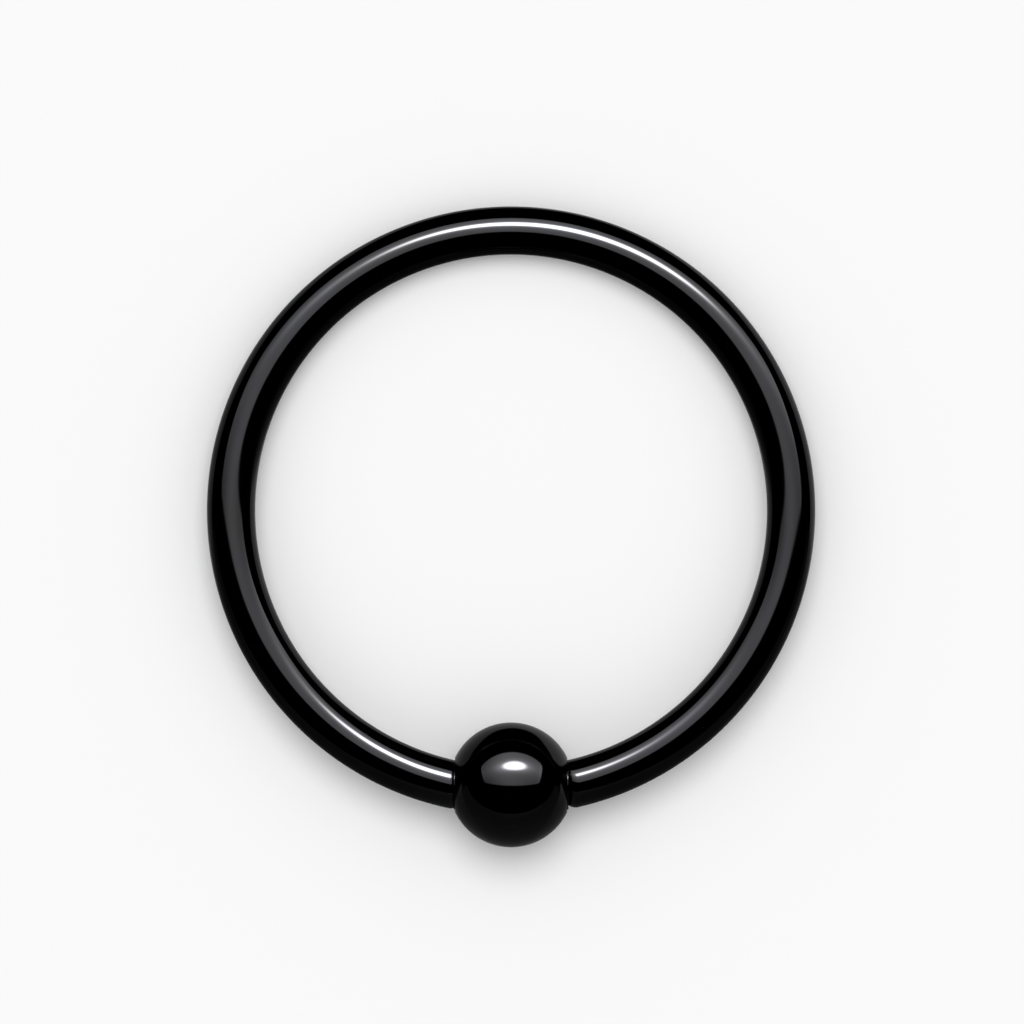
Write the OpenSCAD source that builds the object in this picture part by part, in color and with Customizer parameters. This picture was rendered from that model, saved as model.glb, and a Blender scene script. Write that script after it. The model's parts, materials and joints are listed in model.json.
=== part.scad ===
// Bendable hoop ring for a piercing: a round wire bent into a hoop, which a ball closes.
// One end of the wire is fixed in the ball. The other has a rounded tip that springs into a dimple,
// and the wire is twisted sideways by hand to open the hoop.
// The hoop lies on its side as it rests by itself, on the ball and on the wire across from the ball.
// X runs from the fixed end to the free tip, Y from the ball across the hoop, and Z is up.

/* [Wire] */
// Diameter of the wire
wire_d = 1.2; // [1:0.05:1.3]
// Clear inside diameter of the hoop
inner_d = 12.7; // [11:0.1:16]
// Rounding of the free tip's edge
tip_round = 0.3; // [0.2:0.05:0.35]
// Length of the rounded tip that stays outside the ball
tip_show = 0.14; // [0.14:0.01:0.3]
// Bevel round the edge of the fixed end
end_bevel = 0.08; // [0.02:0.01:0.1]
// Length of the pin that holds the fixed end in the ball
pin_len = 0.9; // [0.5:0.1:1]

/* [Ball] */
// Diameter of the ball
ball_d = 3.1; // [2.8:0.1:3.6]
// How far the two flats reach past the wire that meets them
flat_margin = 0.08; // [0.08:0.01:0.12]
// Depth of the dimple for the free tip
dimple_depth = 0.44; // [0.44:0.01:0.6]

/* [Fit] */
// Gap between the ball and the fixed end of the wire
fit_gap = 0.015; // [0.01:0.005:0.03]

/* [Hidden] */
$fn = 96;
black_metal = [0.06, 0.06, 0.07];

wire_r = wire_d / 2;
ball_r = ball_d / 2;
// Radius of the wire's centre line
hoop_r = (inner_d + wire_d) / 2;

// The flats are square to X. The wire's centre line meets each at its middle, level with the ball's centre.
flat_r = wire_r + flat_margin;
flat_x = sqrt(ball_r ^ 2 - flat_r ^ 2);
ball_y = sqrt(hoop_r ^ 2 - flat_x ^ 2);

// The dimple is a spherical cup, whose mouth lies halfway between the wire's edge and the flat's
mouth_r = wire_r + flat_margin / 2;
dimple_r = (mouth_r ^ 2 + dimple_depth ^ 2) / (2 * dimple_depth);

// The pin of the fixed end is two thirds as thick as the wire, in a blind bore
pin_r = wire_r * 2 / 3;
bore_r = pin_r + fit_gap;
bore_depth = pin_len + fit_gap;

// Angles along the hoop from the middle of the ball: where the tip's rounding starts, and where the wire
// is cut inside the ball before its fixed end is trimmed
tip_angle = asin((flat_x + tip_show) / hoop_r);
cut_angle = tip_angle / 2;

// The ball is thicker than the wire, so the hoop leans by a few degrees where it lies
lean = asin((ball_r - wire_r) / (hoop_r + ball_y));
centre_z = wire_r + hoop_r * sin(lean);
// The hoop's centre is off the middle of the whole, because the ball reaches out past the wire
centre_y = ((ball_y - hoop_r) * cos(lean) + ball_r - wire_r) / 2;

// Takes the hoop from the XY plane, where its centre is the origin, to the way it rests on the floor
module lay_down() {
    translate([0, centre_y, centre_z])
        rotate([-lean, 0, 0])
            children();
}

// Half section of the free tip, from the start of its rounding
module tip_section() {
    square([wire_r - tip_round, tip_round]);
    translate([wire_r - tip_round, 0])
        intersection() {
            circle(r = tip_round);
            square(tip_round);
        }
}

// The arc of wire and its free tip, drawn with the tip's start on the X axis and then turned into place
module bent_wire() {
    rotate([0, 0, tip_angle - 90]) {
        rotate_extrude(angle = 360 - tip_angle - cut_angle)
            translate([hoop_r, 0])
                circle(r = wire_r);
        translate([hoop_r, 0, 0])
            rotate([90, 0, 0])
                rotate_extrude()
                    tip_section();
    }
}

// What is taken off the wire where its fixed end meets the ball: all past the end face, and the bevel
module fixed_end_trim() {
    bevel_out = 2 * end_bevel;
    translate([-flat_x - fit_gap, -ball_y, 0])
        rotate([0, 90, 0])
            rotate_extrude()
                polygon([
                    [0, 0],
                    [wire_r - end_bevel, 0],
                    [wire_r - end_bevel + bevel_out, -bevel_out],
                    [wire_d, -bevel_out],
                    [wire_d, ball_r],
                    [0, ball_r]
                ]);
}

// The pin of the fixed end, rooted in the wire by a quarter of its diameter
module fixed_end_pin() {
    root = wire_d / 4;
    translate([-flat_x - fit_gap - root, -ball_y, 0])
        rotate([0, 90, 0])
            cylinder(r = pin_r, h = root + fit_gap + pin_len);
}

// Half section of the ball, with the dimple at its top and the bore at its bottom
module ball_section() {
    difference() {
        intersection() {
            circle(r = ball_r);
            translate([0, -flat_x])
                square([ball_r, 2 * flat_x]);
        }
        translate([0, flat_x - dimple_depth + dimple_r])
            circle(r = dimple_r);
        translate([-bore_r, -flat_x - bore_depth])
            square([2 * bore_r, 2 * bore_depth]);
    }
}

module hoop_wire() {
    color(black_metal)
        lay_down() {
            difference() {
                bent_wire();
                fixed_end_trim();
            }
            fixed_end_pin();
        }
}

module ball() {
    color(black_metal)
        lay_down()
            translate([0, -ball_y, 0])
                rotate([0, 90, 0])
                    rotate_extrude()
                        ball_section();
}

hoop_wire();
ball();
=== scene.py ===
"""Looks of a bendable hoop ring: a mirror-polished black wire hoop, closed by a ball.

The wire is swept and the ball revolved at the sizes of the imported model, much finer than its mesh, and
their edges are softened. Each has a procedural finish. The hoop lies on a pale floor, and the camera looks
at it square-on from above.

Everything is in metres. The hoop is drawn flat first, with its centre at the origin, the ball at -Y and its
normal along +Z, and then laid down the way it rests.
"""

import json
from collections import namedtuple
from math import acos, asin, atan2, cos, hypot, pi, radians, sin, sqrt

import bpy
from mathutils import Matrix, Vector


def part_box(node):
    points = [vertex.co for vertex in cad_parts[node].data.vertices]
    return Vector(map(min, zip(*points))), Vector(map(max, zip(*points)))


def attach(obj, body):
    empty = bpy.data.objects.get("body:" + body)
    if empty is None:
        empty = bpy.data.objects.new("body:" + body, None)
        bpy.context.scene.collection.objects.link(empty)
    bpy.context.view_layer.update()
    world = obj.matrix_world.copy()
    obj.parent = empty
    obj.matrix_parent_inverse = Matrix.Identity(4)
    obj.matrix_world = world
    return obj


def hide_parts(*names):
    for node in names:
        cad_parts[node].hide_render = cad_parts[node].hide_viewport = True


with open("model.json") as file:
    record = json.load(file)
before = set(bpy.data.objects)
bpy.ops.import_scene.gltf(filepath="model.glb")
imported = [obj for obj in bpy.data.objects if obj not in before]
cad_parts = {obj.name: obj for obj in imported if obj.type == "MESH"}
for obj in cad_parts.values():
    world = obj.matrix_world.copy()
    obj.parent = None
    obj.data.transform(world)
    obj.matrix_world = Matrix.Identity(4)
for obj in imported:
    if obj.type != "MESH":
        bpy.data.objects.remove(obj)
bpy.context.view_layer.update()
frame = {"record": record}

MM = 0.001

# Sizes read from the frame
seat = frame["record"]["mounts"][0]
WIRE_R = seat["dims"]["r_mm"] * MM
HOOP_R = -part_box("hoop_wire")[0].x - WIRE_R
FLAT_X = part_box("ball")[1].x

# Small sizes of the two ends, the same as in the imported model
FLAT_MARGIN = 0.08 * MM
FIT_GAP = 0.015 * MM
TIP_ROUND = 0.3 * MM
TIP_SHOW = 0.14 * MM
PIN_R = WIRE_R * 2 / 3
PIN_LENGTH = 0.9 * MM
DIMPLE_DEPTH = 0.44 * MM

# Edges that polishing has softened
RIM_SOFT = 0.05 * MM
LIP_SOFT = 0.015 * MM
PIN_SOFT = 0.04 * MM

# The shoulder of the fixed end is drawn tight against the ball. Its edge is softened along the wire and
# inwards, and the inside of the hoop has only a share of that.
SHOULDER_GAP = 0.001 * MM
END_SOFT_ALONG = 0.14 * MM
END_SOFT_DEEP = 0.08 * MM
END_SOFT_INSIDE = 0.4

# What the free tip's rounding has more of, along the wire and inwards, above and below the hoop's plane
TIP_EASE_ALONG = 0.166 * MM
TIP_EASE_DEEP = 0.13 * MM

# A fine bead stands round the wire on each flat of the ball. The middle of its section lies proud of the
# flat, on a circle round the wire.
BEAD_R = 0.016 * MM
BEAD_PROUD = 0.013 * MM
BEAD_AROUND = 0.602 * MM

# Sizes worked out from these
FLAT_R = WIRE_R + FLAT_MARGIN
BALL_R = hypot(FLAT_X, FLAT_R)
BALL_Y = sqrt(HOOP_R ** 2 - FLAT_X ** 2)
MOUTH_R = WIRE_R + FLAT_MARGIN / 2
DIMPLE_R = (MOUTH_R ** 2 + DIMPLE_DEPTH ** 2) / (2 * DIMPLE_DEPTH)
BORE_R = PIN_R + FIT_GAP
BORE_END = -FLAT_X + PIN_LENGTH + FIT_GAP
PIN_END = -FLAT_X + PIN_LENGTH
SHOULDER_X = -FLAT_X - SHOULDER_GAP

# Angles along the hoop from the middle of the ball, where the wire's arc starts at the tip's rounding and
# ends at the fixed end's edge
TIP_ANGLE = asin((FLAT_X + TIP_SHOW) / HOOP_R)
EDGE_ANGLE = 2 * pi + asin((SHOULDER_X - END_SOFT_ALONG) / HOOP_R)
ARC_LENGTH = HOOP_R * (EDGE_ANGLE - TIP_ANGLE)

# The ball is thicker than the wire, so the hoop leans where it lies
LEAN = asin((BALL_R - WIRE_R) / (HOOP_R + BALL_Y))
CENTRE_Y = ((BALL_Y - HOOP_R) * cos(LEAN) + BALL_R - WIRE_R) / 2
CENTRE_Z = WIRE_R + HOOP_R * sin(LEAN)
LAY_DOWN = Matrix.Translation((0, CENTRE_Y, CENTRE_Z)) @ Matrix.Rotation(-LEAN, 4, "X")

# Fineness of the meshes: sides round the wire and the ball, and steps along their outlines
WIRE_SIDES = 96
WIRE_STEPS = 420
FACE_STEPS = 6
NOSE_STEPS = 30
BALL_SIDES = 192
BALL_STEPS = 96
BEAD_STEPS = 16
DIMPLE_STEPS = 24
EDGE_STEPS = 10
PIN_STEPS = 8
FLAT_STEPS = 3
NARROW_STEPS = 2

# A fold sharper than this is shaded as an edge
SHARP_FOLD = radians(40)

# Angle over which the wire's rings turn from square to the wire into the way that each end needs
SKEW_OVER = radians(12)


# Outlines

def line(start, end, steps):
    """Evenly spaced points from start to end, without start."""
    return [start.lerp(end, (i + 1) / steps) for i in range(steps)]


def arc(centre, radius, start, end, steps):
    """Points round an arc from one angle to another, with both ends."""
    angles = [start + (end - start) * i / steps for i in range(steps + 1)]
    return [Vector((centre[0] + radius * cos(a), centre[1] + radius * sin(a))) for a in angles]


def mirrored(outline):
    """The same outline at the other end of the axis, run the other way."""
    return [Vector((-x, r)) for x, r in reversed(outline)]


def oblong(middle, half):
    """The four corners of an upright oblong."""
    signs = ((-1, -1), (1, -1), (1, 1), (-1, 1))
    return [(middle[0] + x * half[0], middle[1] + y * half[1]) for x, y in signs]


# Meshes

def turns(sides):
    """Evenly spaced angles all round."""
    return [2 * pi * i / sides for i in range(sides)]


def round_ball_axis(x, radius, angles):
    """Points on a circle round the ball's axis, which runs along X."""
    return [Vector((x, -BALL_Y - radius * cos(a), radius * sin(a))) for a in angles]


def skin(name, rings, notes, material):
    """A closed smooth mesh through rings of points. A ring of one point is a pole. The notes are named lists
    of values, one for each point, that the material reads."""
    mesh = bpy.data.meshes.new(name)
    starts = []
    points = []
    for ring in rings:
        starts.append(len(points))
        points.extend(ring)
    faces = []
    for i in range(len(rings) - 1):
        near, far = rings[i], rings[i + 1]
        sides = max(len(near), len(far))
        for j in range(sides):
            k = (j + 1) % sides
            face = [
                starts[i] + j % len(near),
                starts[i + 1] + j % len(far),
                starts[i + 1] + k % len(far),
                starts[i] + k % len(near),
            ]
            faces.append(list(dict.fromkeys(face)))
    mesh.from_pydata(points, [], faces)
    for note, (kind, values) in notes.items():
        attribute = mesh.attributes.new(note, kind, "POINT")
        if kind == "FLOAT_VECTOR":
            attribute.data.foreach_set("vector", [x for value in values for x in value])
        else:
            attribute.data.foreach_set("value", values)
    mesh.transform(LAY_DOWN)
    mesh.shade_smooth()
    mesh.set_sharp_from_angle(angle=SHARP_FOLD)
    mesh.materials.append(material)
    obj = bpy.data.objects.new(name, mesh)
    bpy.context.scene.collection.objects.link(obj)
    return obj


# Wire

# A ring of points round the wire, with its place along the straightened wire and how much of an edge it is
Ring = namedtuple("Ring", "points along edge")
WIRE_TURNS = turns(WIRE_SIDES)


def on_hoop(angle, turn, radius=WIRE_R):
    """A point at an angle along the hoop and a turn round the wire, which is 0 on the hoop's outside."""
    reach = HOOP_R + radius * cos(turn)
    return Vector((reach * sin(angle), -reach * cos(angle), radius * sin(turn)))


def on_tip(reach, turn, radius):
    """A point by the free tip: on along the arc behind its start, and straight ahead of it."""
    ahead = Vector((-cos(TIP_ANGLE), -sin(TIP_ANGLE), 0))
    behind = max(0, -reach) / HOOP_R
    return on_hoop(TIP_ANGLE + behind, turn, radius) + ahead * max(0, reach)


def angle_at(x, turn):
    """Angle along the hoop where the wire's surface passes the plane at x, near the fixed end."""
    return 2 * pi + asin(x / (HOOP_R + WIRE_R * cos(turn)))


def smooth(share):
    """Eases a share that grows evenly from 0 to 1, at both ends."""
    return share * share * (3 - 2 * share)


def tip_ease(turn):
    """How much of the tip's extra rounding there is: none at the inside and outside of the hoop."""
    return sin(turn) ** 2


def end_share(turn):
    """How much of its full rounding the fixed end's edge has."""
    inside = max(0, -cos(turn))
    return 1 - (1 - END_SOFT_INSIDE) * inside ** 2


def tip_rings():
    """The rounded nose of the free tip, from the middle of its face."""
    rings = [Ring([on_tip(TIP_ROUND, 0, 0)], -TIP_ROUND, 0)]
    for i in range(1, FACE_STEPS + 1):
        points = []
        for turn in WIRE_TURNS:
            face_r = WIRE_R - TIP_ROUND - TIP_EASE_DEEP * tip_ease(turn)
            points.append(on_tip(TIP_ROUND, turn, face_r * i / FACE_STEPS))
        rings.append(Ring(points, -TIP_ROUND, 0))
    for i in range(1, NOSE_STEPS):
        t = pi / 2 * i / NOSE_STEPS
        points = []
        for turn in WIRE_TURNS:
            along = TIP_ROUND + TIP_EASE_ALONG * tip_ease(turn)
            deep = TIP_ROUND + TIP_EASE_DEEP * tip_ease(turn)
            points.append(on_tip(TIP_ROUND - along * (1 - cos(t)), turn, WIRE_R - deep * (1 - sin(t))))
        rings.append(Ring(points, -TIP_ROUND * cos(t), 0))
    return rings


def arc_rings():
    """The arc, whose rings start at the tip's rounding and end in the plane of the fixed end's edge."""
    rings = []
    for i in range(WIRE_STEPS + 1):
        angle = TIP_ANGLE + (EDGE_ANGLE - TIP_ANGLE) * i / WIRE_STEPS
        eased = max(0, 1 - (angle - TIP_ANGLE) / SKEW_OVER)
        skew = smooth(max(0, 1 - (EDGE_ANGLE - angle) / SKEW_OVER))
        points = []
        for turn in WIRE_TURNS:
            here = angle + TIP_EASE_ALONG / HOOP_R * tip_ease(turn) * eased
            if skew:
                plane_x = HOOP_R * sin(angle) + END_SOFT_ALONG * (1 - end_share(turn)) * skew
                here += (angle_at(plane_x, turn) - here) * skew
            points.append(on_hoop(here, turn))
        rings.append(Ring(points, HOOP_R * (angle - TIP_ANGLE), 0))
    return rings


def edge_rings():
    """The edge of the fixed end, rounded from the arc into the end face."""
    middle = on_hoop(angle_at(SHOULDER_X, pi / 2), 0, 0)
    rings = []
    for i in range(1, EDGE_STEPS + 1):
        t = pi / 2 * i / EDGE_STEPS
        points = []
        for turn in WIRE_TURNS:
            share = end_share(turn)
            start = on_hoop(angle_at(SHOULDER_X - END_SOFT_ALONG * share, turn), turn)
            corner = on_hoop(angle_at(SHOULDER_X, turn), turn)
            inward = (middle - corner).normalized() * END_SOFT_DEEP * share
            points.append(corner + (start - corner) * (1 - sin(t)) + inward * (1 - cos(t)))
        rings.append(Ring(points, ARC_LENGTH + END_SOFT_ALONG * sin(t), sin(t)))
    return rings


def pin_rings(face):
    """The end face, the pin that stands out of it and the pin's own end. The face is the ring round it."""
    start = ARC_LENGTH + END_SOFT_ALONG
    foot = round_ball_axis(SHOULDER_X, PIN_R, WIRE_TURNS)
    rings = []
    for i in range(1, FLAT_STEPS + 1):
        points = [outer.lerp(inner, i / FLAT_STEPS) for outer, inner in zip(face, foot)]
        rings.append(Ring(points, start, 0))
    soft_x = PIN_END - PIN_SOFT
    side = line(Vector((SHOULDER_X, PIN_R)), Vector((soft_x, PIN_R)), PIN_STEPS)
    side += arc((soft_x, PIN_R - PIN_SOFT), PIN_SOFT, pi / 2, 0, EDGE_STEPS)[1:]
    for x, radius in side:
        rings.append(Ring(round_ball_axis(x, radius, WIRE_TURNS), start + x - SHOULDER_X, 0))
    rings.append(Ring([Vector((PIN_END, -BALL_Y, 0))], start + PIN_END - SHOULDER_X, 0))
    return rings


def make_wire(material):
    rings = tip_rings() + arc_rings() + edge_rings()
    rings += pin_rings(rings[-1].points)
    straight = []
    edges = []
    for ring in rings:
        radius = WIRE_R if len(ring.points) > 1 else 0
        for turn in WIRE_TURNS[:len(ring.points)]:
            straight.append((ring.along / MM, radius * cos(turn) / MM, radius * sin(turn) / MM))
            edges.append(ring.edge)
    notes = {"straight_mm": ("FLOAT_VECTOR", straight), "edge": ("FLOAT", edges)}
    return skin("polished_wire", [ring.points for ring in rings], notes, material)


# Ball

def ball_outline():
    """Half outline of the ball along X, as points of (x, radius), from the bottom of the bore to the bottom
    of the dimple."""
    # The rim between each flat and the sphere
    rim_x = FLAT_X - RIM_SOFT
    rim_r = sqrt((BALL_R - RIM_SOFT) ** 2 - rim_x ** 2)
    rim_angle = atan2(rim_r, rim_x)
    rim = arc((rim_x, rim_r), RIM_SOFT, rim_angle, 0, EDGE_STEPS)

    # The bead on each flat. Inside it, a short wall leads into the dimple.
    bead_end = acos(-BEAD_PROUD / BEAD_R)
    bead = arc((FLAT_X + BEAD_PROUD, BEAD_AROUND), BEAD_R, bead_end, -bead_end, BEAD_STEPS)
    dimple_x = FLAT_X - DIMPLE_DEPTH + DIMPLE_R
    dimple = arc((dimple_x, 0), DIMPLE_R, pi - asin(bead[-1].y / DIMPLE_R), pi, DIMPLE_STEPS)

    # The bore and the softened lip at its mouth
    lip_x = -FLAT_X + LIP_SOFT
    outline = [Vector((BORE_END, 0))]
    outline += line(Vector((BORE_END, 0)), Vector((BORE_END, BORE_R)), FLAT_STEPS)
    outline += line(Vector((BORE_END, BORE_R)), Vector((lip_x, BORE_R)), PIN_STEPS)
    outline += arc((lip_x, BORE_R + LIP_SOFT), LIP_SOFT, -pi / 2, -pi, EDGE_STEPS)[1:]

    outline += line(outline[-1], mirrored(bead)[0], FLAT_STEPS)
    outline += mirrored(bead)[1:]
    outline += line(outline[-1], Vector((-FLAT_X, rim_r)), NARROW_STEPS)[:-1]
    outline += mirrored(rim)
    outline += arc((0, 0), BALL_R, pi - rim_angle, rim_angle, BALL_STEPS)[1:]
    outline += rim[1:]
    outline += line(rim[-1], bead[0], NARROW_STEPS)
    outline += bead[1:]
    outline += line(bead[-1], dimple[0], NARROW_STEPS)
    outline += dimple[1:]
    return outline


def make_ball(material):
    all_round = turns(BALL_SIDES)
    rings = []
    centred = []
    edges = []
    for x, r in ball_outline():
        ring = round_ball_axis(x, r, all_round if r > 0 else all_round[:1])
        rings.append(ring)
        off_rim = abs(r - FLAT_R) + abs(abs(x) - FLAT_X)
        edge = max(0, 1 - off_rim / (2 * RIM_SOFT))
        for point in ring:
            centred.append((point.x / MM, (point.y + BALL_Y) / MM, point.z / MM))
            edges.append(edge)
    notes = {"centred_mm": ("FLOAT_VECTOR", centred), "edge": ("FLOAT", edges)}
    return skin("polished_ball", rings, notes, material)


# Nodes

class Value:
    """A number that a node puts out. Sums and products of it are nodes too."""

    def __init__(self, graph, socket):
        self.graph = graph
        self.socket = socket

    def __add__(self, other):
        return self.graph.math("ADD", self, other)

    def __sub__(self, other):
        return self.graph.math("SUBTRACT", self, other)

    def __rsub__(self, other):
        return self.graph.math("SUBTRACT", other, self)

    def __mul__(self, other):
        return self.graph.math("MULTIPLY", self, other)

    def __truediv__(self, other):
        return self.graph.math("DIVIDE", self, other)

    def __abs__(self):
        return self.graph.math("ABSOLUTE", self)

    __radd__ = __add__
    __rmul__ = __mul__


# A noise: its scale, how often finer noise is added to it, and the values between which it is put to use
Noise = namedtuple("Noise", "scale detail low high")


class Graph:
    """The nodes of one material or world."""

    def __init__(self, tree):
        self.tree = tree
        tree.nodes.clear()

    def put(self, value, socket):
        """Links a node's output to the socket, or sets the socket to a plain value."""
        if isinstance(value, Value):
            value = value.socket
        if isinstance(value, bpy.types.NodeSocket):
            self.tree.links.new(value, socket)
        elif value is not None:
            socket.default_value = value

    def add(self, kind, *inputs, **settings):
        """A node of that kind, with its settings. An input of None stays as it is."""
        node = self.tree.nodes.new(kind)
        for key, value in settings.items():
            setattr(node, key, value)
        for socket, value in zip(node.inputs, inputs):
            self.put(value, socket)
        return node

    def math(self, operation, *inputs):
        return Value(self, self.add("ShaderNodeMath", *inputs, operation=operation).outputs[0])

    def dot(self, a, b):
        node = self.add("ShaderNodeVectorMath", a, tuple(b), operation="DOT_PRODUCT")
        return Value(self, node.outputs["Value"])

    def stretch(self, vector, scale):
        node = self.add("ShaderNodeVectorMath", vector, tuple(scale), operation="MULTIPLY")
        return node.outputs["Vector"]

    def step(self, value, start, end, low=0.0, high=1.0):
        """A smooth change from low, where the value is at start, to high, where it is at end."""
        node = self.add(
            "ShaderNodeMapRange", value, start, end, low, high, interpolation_type="SMOOTHSTEP")
        return Value(self, node.outputs[0])

    def ramp(self, value, start, end, low, high):
        """A straight change from low, where the value is at start, to high, where it is at end."""
        return Value(self, self.add("ShaderNodeMapRange", value, start, end, low, high).outputs[0])

    def bell(self, value, middle, half, power=2.0):
        """A round peak of height 1 at the middle, which is down to 1/e at half to each side. A higher power
        has a flatter top and steeper sides."""
        off = abs((value - middle) / half)
        return self.math("EXPONENT", self.math("POWER", off, power) * -1.0)

    def noise(self, vector, noise):
        node = self.add("ShaderNodeTexNoise", vector)
        node.inputs["Scale"].default_value = noise.scale
        node.inputs["Detail"].default_value = noise.detail
        return Value(self, node.outputs["Fac"])

    def mix(self, share, low, high):
        node = self.add("ShaderNodeMix", data_type="RGBA")
        for name, value in (("Factor_Float", share), ("A_Color", low), ("B_Color", high)):
            self.put(value, next(s for s in node.inputs if s.identifier == name))
        return next(s for s in node.outputs if s.identifier == "Result_Color")

    def attribute(self, name, output):
        return self.add("ShaderNodeAttribute", attribute_name=name).outputs[output]


# Materials

# The black coat reflects a twentieth of the light, a touch bluer where it is thicker
COAT_THIN = (0.0500, 0.0490, 0.0512, 1)
COAT_THICK = (0.0540, 0.0545, 0.0600, 1)
COAT_WORN = (0.0850, 0.0835, 0.0865, 1)

# What varies over the polish, at scales of one over a millimetre: the tint, the worn places on edges, and a
# haze that makes it rougher
CLOUDS = Noise(scale=0.45, detail=3.0, low=0.35, high=0.65)
PATCHES = Noise(scale=9.0, detail=4.0, low=0.45, high=0.6)
HAZE = Noise(scale=1.3, detail=4.0, low=0.3, high=0.7)

# Lines along the wire, drawn out by the stretch, and the roughness of its haze and its lines
LINES = Noise(scale=1.0, detail=3.0, low=0.3, high=0.7)
LINE_STRETCH = (0.5, 22.0, 22.0)
LINE_DEPTH = 0.0001 * MM
LINE_ROUGH = 0.006
WIRE_ROUGH = (0.05, 0.07)

# Scratches on the ball, drawn out along each axis in turn, and the roughness of its haze and its scratches
SCRATCHES = Noise(scale=1.0, detail=2.0, low=0.5, high=0.8)
SCRATCH_ALONG = 0.8
SCRATCH_ACROSS = 26.0
SCRATCH_DEPTH = 0.00008 * MM
SCRATCH_ROUGH = 0.01
BALL_ROUGH = (0.045, 0.06)


def polished_metal(name):
    """A metal shader in a new material, with its graph."""
    material = bpy.data.materials.new(name)
    material.use_nodes = True
    graph = Graph(material.node_tree)
    shader = graph.add("ShaderNodeBsdfPrincipled")
    shader.inputs["Metallic"].default_value = 1.0
    output = graph.add("ShaderNodeOutputMaterial")
    graph.put(shader.outputs[0], output.inputs["Surface"])
    return material, graph, shader


def coat_colour(graph, place):
    """Faint clouds in the coat's tint, a few millimetres wide, and a lighter tone where an edge has worn."""
    clouds = graph.step(graph.noise(place, CLOUDS), CLOUDS.low, CLOUDS.high)
    tint = graph.mix(clouds, COAT_THIN, COAT_THICK)
    patches = graph.step(graph.noise(place, PATCHES), PATCHES.low, PATCHES.high)
    edge = Value(graph, graph.attribute("edge", "Fac"))
    return graph.mix(patches * edge, tint, COAT_WORN)


def put_finish(graph, shader, place, rough, relief, depth):
    """Gives the metal its coat, its roughness and a relief of that depth."""
    bump = graph.add("ShaderNodeBump")
    bump.inputs["Distance"].default_value = depth
    graph.put(relief, bump.inputs["Height"])
    graph.put(coat_colour(graph, place), shader.inputs["Base Color"])
    graph.put(rough, shader.inputs["Roughness"])
    graph.put(bump.outputs[0], shader.inputs["Normal"])


def wire_material():
    """Drawn and then polished wire: hair-fine lines along it that the polish has nearly taken out."""
    material, graph, shader = polished_metal("black_titanium_wire")
    place = graph.attribute("straight_mm", "Vector")
    lines = graph.noise(graph.stretch(place, LINE_STRETCH), LINES)
    rough = graph.ramp(lines, LINES.low, LINES.high, -LINE_ROUGH, LINE_ROUGH)
    rough += graph.ramp(graph.noise(place, HAZE), HAZE.low, HAZE.high, *WIRE_ROUGH)
    put_finish(graph, shader, place, rough, lines, LINE_DEPTH)
    return material


def ball_material():
    """Tumbled and polished ball: faint scratches that cross every way."""
    material, graph, shader = polished_metal("black_titanium_ball")
    place = graph.attribute("centred_mm", "Vector")
    scratches = 0.0
    for axis in range(3):
        stretch = [SCRATCH_ACROSS] * 3
        stretch[axis] = SCRATCH_ALONG
        crossing = graph.noise(graph.stretch(place, stretch), SCRATCHES)
        scratches = graph.math("MAXIMUM", scratches, crossing)
    rough = graph.ramp(scratches, SCRATCHES.low, SCRATCHES.high, 0.0, SCRATCH_ROUGH)
    rough += graph.ramp(graph.noise(place, HAZE), HAZE.low, HAZE.high, *BALL_ROUGH)
    put_finish(graph, shader, place, rough, scratches, SCRATCH_DEPTH)
    return material


# Studio

FLOOR_WHITE = 0.88
FLOOR_ROUGH = 0.9
FLOOR_HALF = 0.9

# Light from all round, most of it from overhead. At full strength above FILL_HIGH, it lights a level floor
# with FILL_SHARE of its strength.
FILL = 0.806
FILL_HIGH = 0.8
FILL_SHARE = 0.808

# A broad lamp high overhead that leans towards +Y
KEY = 1.434
KEY_TILT = radians(18)
KEY_WIDTH = radians(34)

# The floor's own brightness, which the view past its edge repeats
FLOOR_LIGHT = FLOOR_WHITE * (FILL * FILL_SHARE + KEY * cos(KEY_TILT) / pi)


def make_floor():
    """A wide matt pale floor, which the polished metal doesn't mirror."""
    mesh = bpy.data.meshes.new("floor")
    corners = oblong((0, 0), (FLOOR_HALF, FLOOR_HALF))
    mesh.from_pydata([(x, y, 0) for x, y in corners], [], [(0, 1, 2, 3)])
    material = bpy.data.materials.new("pale_floor")
    material.use_nodes = True
    shader = material.node_tree.nodes["Principled BSDF"]
    shader.inputs["Base Color"].default_value = (FLOOR_WHITE, FLOOR_WHITE, FLOOR_WHITE, 1)
    shader.inputs["Roughness"].default_value = FLOOR_ROUGH
    shader.inputs["Specular IOR Level"].default_value = 0.0
    mesh.materials.append(material)
    floor = bpy.data.objects.new("floor", mesh)
    bpy.context.scene.collection.objects.link(floor)
    floor.visible_glossy = False


def make_key():
    """The broad lamp, for a soft shadow on the ball's side."""
    lamp = bpy.data.lights.new("key", "SUN")
    lamp.energy = KEY
    lamp.angle = KEY_WIDTH
    key = bpy.data.objects.new("key", lamp)
    key.rotation_euler = (-KEY_TILT, 0, 0)
    key.visible_glossy = False
    bpy.context.scene.collection.objects.link(key)


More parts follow.
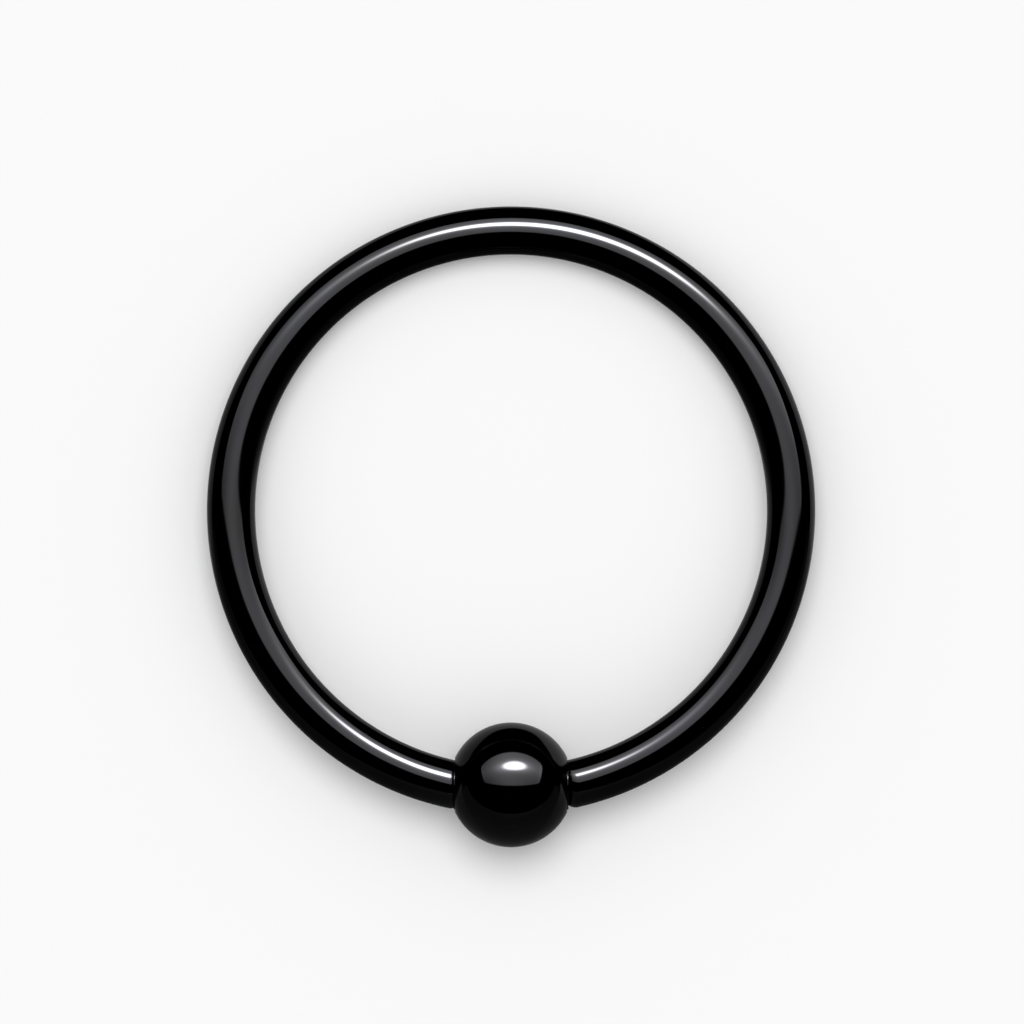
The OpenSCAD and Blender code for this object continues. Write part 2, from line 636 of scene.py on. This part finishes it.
def make_world():
    """The fill for the floor. The polished metal mirrors a dark room."""
    world = bpy.data.worlds.new("studio")
    world.use_nodes = True
    world.cycles.sampling_method = "NONE"
    graph = Graph(world.node_tree)
    outwards = graph.add("ShaderNodeTexCoord").outputs["Generated"]
    fill = graph.step(graph.dot(outwards, (0, 0, 1)), 0.0, FILL_HIGH, 0.0, FILL)

    path = graph.add("ShaderNodeLightPath")
    shown = graph.add("ShaderNodeMix", path.outputs["Is Camera Ray"], None, fill, FLOOR_LIGHT)
    strength = graph.add("ShaderNodeMix", path.outputs["Is Glossy Ray"], None, shown.outputs[0], 0.0)
    background = graph.add("ShaderNodeBackground", (1, 1, 1, 1), strength.outputs[0])
    output = graph.add("ShaderNodeOutputWorld")
    graph.put(background.outputs[0], output.inputs["Surface"])
    bpy.context.scene.world = world


# What the polish mirrors: a softbox, a card and a backdrop, which nothing else shows

def mirrored_panel(name, corners, place, light, gloss=0.0):
    """A four-cornered black panel that shows only in what the polish mirrors. The light is a function that
    makes what it gives off from a graph and the panel's own two coordinates. The gloss is how much it
    mirrors itself."""
    mesh = bpy.data.meshes.new(name)
    mesh.from_pydata([(x, y, 0) for x, y in corners], [], [(3, 2, 1, 0)])
    material = bpy.data.materials.new(name)
    material.use_nodes = True
    material.cycles.emission_sampling = "NONE"
    graph = Graph(material.node_tree)
    own = graph.add("ShaderNodeTexCoord").outputs["Object"]
    shader = graph.add("ShaderNodeBsdfPrincipled")
    shader.inputs["Base Color"].default_value = (0, 0, 0, 1)
    shader.inputs["Roughness"].default_value = 0.0
    shader.inputs["Specular IOR Level"].default_value = gloss
    shader.inputs["Emission Color"].default_value = (1, 1, 1, 1)
    strength = light(graph, graph.dot(own, (1, 0, 0)), graph.dot(own, (0, 1, 0)))
    graph.put(strength, shader.inputs["Emission Strength"])
    output = graph.add("ShaderNodeOutputMaterial")
    graph.put(shader.outputs[0], output.inputs["Surface"])
    mesh.materials.append(material)
    panel = bpy.data.objects.new(name, mesh)
    panel.matrix_world = LAY_DOWN @ place
    panel.visible_camera = False
    panel.visible_diffuse = False
    panel.visible_transmission = False
    panel.visible_shadow = False
    bpy.context.scene.collection.objects.link(panel)


# A place on a panel, or a size on it: across to the right, and upwards or outwards
Place = namedtuple("Place", "across up")


def spot(graph, across, up, middle, half):
    """A round peak of height 1 on a panel, down to 1/e at half to each side."""
    return graph.bell(across, middle.across, half.across) * graph.bell(up, middle.up, half.up)


# The softbox hangs over the hoop's far side, a little to the right, and faces the hoop's centre. Places on
# it are in units of its distance. Its long edges are bowed and lean a little, and its corners are round.
BOX_TO_RIGHT = radians(4.9)
BOX_TO_FAR_SIDE = radians(34.1)
BOX_TURN = Matrix.Rotation(BOX_TO_RIGHT, 4, "Y") @ Matrix.Rotation(-BOX_TO_FAR_SIDE, 4, "X")
BOX_DISTANCE = 130 * MM
BOX_MIDDLE = Place(-0.15, -0.118)
BOX_HALF = Place(1.485, 0.646)
BOX_BARREL = 0.0775
BOX_TILT = 0.024
BOX_CORNER = 0.15
BOX_SOFT = 0.025

# Its front is grey, and brighter to the right and at the top. On it are a broad glow, a band, a narrower
# glow and a hot core with a steep edge.
FRONT_LIGHT = 0.61
FRONT_SLOPE = Place(0.1, 0.145)
BROAD_LIGHT = 0.71
BROAD_MIDDLE = Place(-0.153, 0.253)
BROAD_HALF = Place(0.68, 1.52)
BAND_LIGHT = 0.643
BAND_SLOPE = 0.247
BAND_MIDDLE = 0.024
BAND_HALF = 0.36
GLOW_LIGHT = 5.7
GLOW_MIDDLE = Place(0.03, -0.01)
GLOW_HALF = Place(0.47, 0.157)
CORE_LIGHT = 22.0
CORE_MIDDLE = Place(0.041, -0.006)
CORE_HALF = Place(0.377, 0.147)
CORE_STEEP = 5.5

# Its side flaps catch more light, and are parted from its front by a dim seam
FLAP_FROM = 1.2
FLAP_GAIN = 0.08
SEAM_DIP = 0.12
SEAM_HALF = 0.03

# How much of it is left on the second mirroring, as where the hoop shows in its own ball
SECOND_MIRROR = 0.25


def softbox_outline(graph, across, up):
    """1 on the softbox and 0 past its edge."""
    off_across = abs(across - BOX_MIDDLE.across)
    off_middle = abs(up - BOX_MIDDLE.up + BOX_TILT * across)
    half_height = BOX_HALF.up - BOX_BARREL * off_across * off_across
    past_side = graph.math("MAXIMUM", off_across - (BOX_HALF.across - BOX_CORNER), 0.0)
    past_top = graph.math("MAXIMUM", off_middle - half_height + BOX_CORNER, 0.0)
    past_corner = graph.math("SQRT", past_side * past_side + past_top * past_top)
    return graph.step(past_corner, BOX_CORNER + BOX_SOFT, BOX_CORNER - BOX_SOFT)


def softbox_light(graph, across, up):
    """The softbox's front, lit by the lamp behind it."""
    front = FRONT_LIGHT + FRONT_SLOPE.across * across + FRONT_SLOPE.up * up
    broad = BROAD_LIGHT * spot(graph, across, up, BROAD_MIDDLE, BROAD_HALF)
    band = (BAND_LIGHT + BAND_SLOPE * across) * graph.bell(up, BAND_MIDDLE, BAND_HALF)
    glow = GLOW_LIGHT * spot(graph, across, up, GLOW_MIDDLE, GLOW_HALF)
    core_across = (across - CORE_MIDDLE.across) / CORE_HALF.across
    core_up = (up - CORE_MIDDLE.up) / CORE_HALF.up
    off_core = graph.math("SQRT", core_across * core_across + core_up * core_up)
    core = CORE_LIGHT * graph.bell(off_core, 0.0, 1.0, power=CORE_STEEP)

    off_across = abs(across - BOX_MIDDLE.across)
    flaps = 1.0 + FLAP_GAIN * graph.step(off_across, FLAP_FROM - SEAM_HALF, FLAP_FROM + SEAM_HALF)
    seam = 1.0 - SEAM_DIP * graph.bell(off_across, FLAP_FROM, SEAM_HALF)
    mirrorings = graph.add("ShaderNodeLightPath").outputs["Glossy Depth"]
    share = graph.step(mirrorings, 2.0, 1.0, SECOND_MIRROR, 1.0)
    shown = softbox_outline(graph, across, up) * share * flaps * seam
    return shown * (front + broad + band + glow + core)


def make_softbox():
    half = (BOX_HALF.across + 2 * BOX_SOFT, BOX_HALF.up + 2 * BOX_SOFT)
    away = Matrix.Translation((0, 0, BOX_DISTANCE)) @ Matrix.Scale(BOX_DISTANCE, 4)
    mirrored_panel("softbox", oblong(BOX_MIDDLE, half), BOX_TURN @ away, softbox_light)


# A dim glossy card stands square to the hoop's plane, just past the ball, from far behind that plane to a
# little in front of it. Places on it are in millimetres: across to the right, and outwards, along the hoop's
# normal.
CARD_GAP = 0.04 * MM
CARD_FRONT = 2.0
CARD_REACH = 120.0
CARD_GLOSS = 0.5

# Its own light grows in two steps towards the hoop's plane, and there is a glow by the ball's foot
CARD_LIGHT = 0.015
FAR_GAIN = 0.015
FAR_STEP = (-11.0, -5.0)
NEAR_GAIN = 0.02
NEAR_STEP = (-1.5, -0.7)
FOOT_LIGHT = 0.04
FOOT_MIDDLE = Place(-0.2, 0.0)
FOOT_HALF = Place(2.0, 1.2)


def card_light(graph, across, outwards):
    far = FAR_GAIN * graph.step(outwards, *FAR_STEP)
    near = NEAR_GAIN * graph.step(outwards, *NEAR_STEP)
    foot = FOOT_LIGHT * spot(graph, across, outwards, FOOT_MIDDLE, FOOT_HALF)
    return CARD_LIGHT + far + near + foot


def make_card():
    turn = Matrix.Translation((0, -BALL_Y - BALL_R - CARD_GAP, 0)) @ Matrix.Rotation(pi / 2, 4, "X")
    middle = (0, (CARD_FRONT - CARD_REACH) / 2)
    half = (CARD_REACH, (CARD_FRONT + CARD_REACH) / 2)
    mirrored_panel("card", oblong(middle, half), turn @ Matrix.Scale(MM, 4), card_light, CARD_GLOSS)


# A dim backdrop stands behind the hoop, parallel to it, and reaches up from the card's plane. Places on it
# are in millimetres from behind the hoop's centre. Its upper edge dips in the middle.
BACKDROP_BEHIND = 49 * MM
BACKDROP_HALF = 190.0
BACKDROP_TOP = 95.0
BACKDROP_SOFT = 5.0
DIP_DEPTH = 45.0
DIP_MIDDLE = 8.0
DIP_HALF = 60.0

# Its grey changes from left to right, between these places to each side
BACKDROP_GREYS = (0.17, 0.33)
GREYS_HALF = 100.0


def backdrop_light(graph, across, up):
    dip = DIP_DEPTH * graph.bell(across, DIP_MIDDLE, DIP_HALF)
    below_top = graph.step(up + dip, BACKDROP_TOP + BACKDROP_SOFT, BACKDROP_TOP - BACKDROP_SOFT)
    inside = graph.step(abs(across), BACKDROP_HALF + BACKDROP_SOFT, BACKDROP_HALF - BACKDROP_SOFT)
    return below_top * inside * graph.step(across, -GREYS_HALF, GREYS_HALF, *BACKDROP_GREYS)


def make_backdrop():
    bottom = (-BALL_Y - BALL_R - CARD_GAP) / MM
    middle = (0, (BACKDROP_TOP + bottom) / 2)
    half = (BACKDROP_HALF + BACKDROP_SOFT, (BACKDROP_TOP - bottom) / 2 + BACKDROP_SOFT)
    place = Matrix.Translation((0, 0, -BACKDROP_BEHIND)) @ Matrix.Scale(MM, 4)
    mirrored_panel("backdrop", oblong(middle, half), place, backdrop_light)


# The camera looks straight down the hoop's normal from far away. The view is as wide as the photo's, and the
# middle of the view lies a little to the right of the hoop's centre and below it.
VIEW_WIDTH = 25.415 * MM
VIEW_SHIFT = Vector((0.023 * MM, -0.036 * MM, 0))
LENS = 1200.0
SENSOR = 36.0
CLIP_START = 0.01
CLIP_END = 10.0


def make_camera():
    data = bpy.data.cameras.new("camera")
    data.lens = LENS
    data.sensor_width = SENSOR
    data.clip_start = CLIP_START
    data.clip_end = CLIP_END
    camera = bpy.data.objects.new("camera", data)
    away = VIEW_WIDTH * LENS / SENSOR
    camera.matrix_world = LAY_DOWN @ Matrix.Translation(VIEW_SHIFT + Vector((0, 0, away)))
    bpy.context.scene.collection.objects.link(camera)
    bpy.context.scene.camera = camera


wire = make_wire(wire_material())
ball = make_ball(ball_material())
for piece, node in ((wire, "hoop_wire"), (ball, "ball")):
    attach(piece, "root")
    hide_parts(node)

make_floor()
make_key()
make_softbox()
make_card()
make_backdrop()
make_world()
make_camera()
bpy.context.scene.view_settings.view_transform = "Standard"
